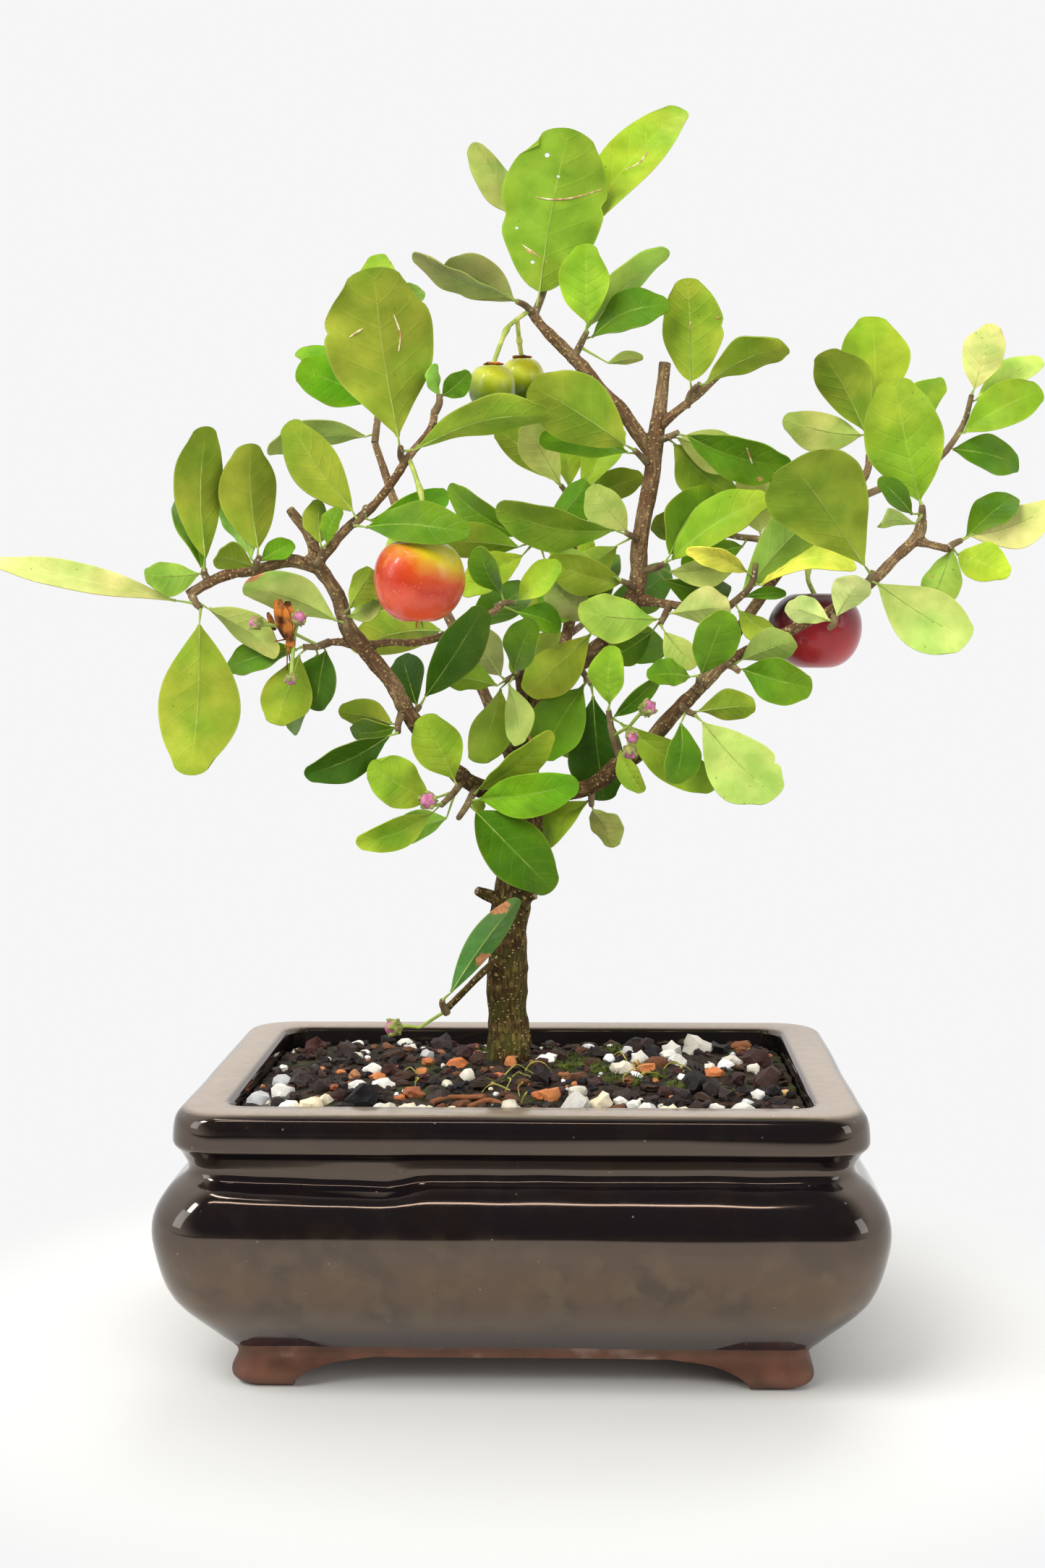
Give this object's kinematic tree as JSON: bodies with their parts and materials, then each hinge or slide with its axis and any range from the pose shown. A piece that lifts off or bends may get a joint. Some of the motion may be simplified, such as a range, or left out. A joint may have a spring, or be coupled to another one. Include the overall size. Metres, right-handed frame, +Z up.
{
  "type": "barbados cherry bonsai",
  "caption": "Small broom-shaped barbados cherry tree with obovate leaves, pink buds and red and green fruit, in a glazed rectangular pot on four corner feet.",
  "frame": {"origin": "under the middle of the whole object's box, on the surface that the pot's feet stand on", "axes": "+Z up along the trunk, -Y towards the front of the tree, +X to its right as seen from the front"},
  "size_m": [0.2426, 0.146, 0.288],
  "materials": {
    "glaze": "gloss",
    "soil": "matte",
    "bark": "rough",
    "leaf": "satin",
    "stalk": "satin",
    "bud": "satin",
    "red_skin": "gloss",
    "maroon_skin": "gloss",
    "green_skin": "satin"
  },
  "bodies": {
    "root": {"pot": "glaze", "soil": "soil", "wood": "bark", "fruit_red": "red_skin", "fruit_dark": "maroon_skin", "fruit_green_left": "green_skin", "fruit_green_right": "green_skin", "stalk_red": "stalk", "stalk_dark": "stalk", "stalk_green": "stalk", "umbel_left": "bud", "umbel_right": "bud", "umbel_front": "bud", "umbel_low": "bud", "leaves_top": "leaf", "leaves_top_left": "leaf", "leaves_top_right": "leaf", "leaves_upper_right": "leaf", "leaves_cherry_big": "leaf", "leaves_cherry_end": "leaf", "leaves_cherry_mid": "leaf", "leaves_back_left": "leaf", "leaves_fork_left": "leaf", "leaves_fork_right": "leaf", "leaves_stem_left": "leaf", "leaves_stem_low_left": "leaf", "leaves_stem_low_right": "leaf", "leaves_pink_left": "leaf", "leaves_young": "leaf", "leaves_mid_back_high": "leaf", "leaves_mid_back_low": "leaf", "leaves_cross_end": "leaf", "leaves_left_upper": "leaf", "leaves_left_elbow": "leaf", "leaves_left_fork": "leaf", "leaves_left_end_up": "leaf", "leaves_left_end_down": "leaf", "leaves_left_mid": "leaf", "leaves_cross_left": "leaf", "leaves_left_low": "leaf", "leaves_front_lime": "leaf", "leaves_front_low": "leaf", "leaves_trunk_low": "leaf", "leaves_hanging": "leaf", "leaves_leader": "leaf", "leaves_main_left": "leaf", "leaves_main_low": "leaf", "leaves_bud_shoot": "leaf", "leaves_right_inner": "leaf", "leaves_right_fold": "leaf", "leaves_right_elbow": "leaf", "leaves_right_big": "leaf", "leaves_right_twist": "leaf", "leaves_right_end": "leaf", "leaves_right_side": "leaf", "leaves_back_right": "leaf", "leaves_far_right": "leaf", "leaves_fill_right": "leaf", "leaves_rear_left": "leaf", "leaves_rear_middle": "leaf"}
  },
  "joints": []
}
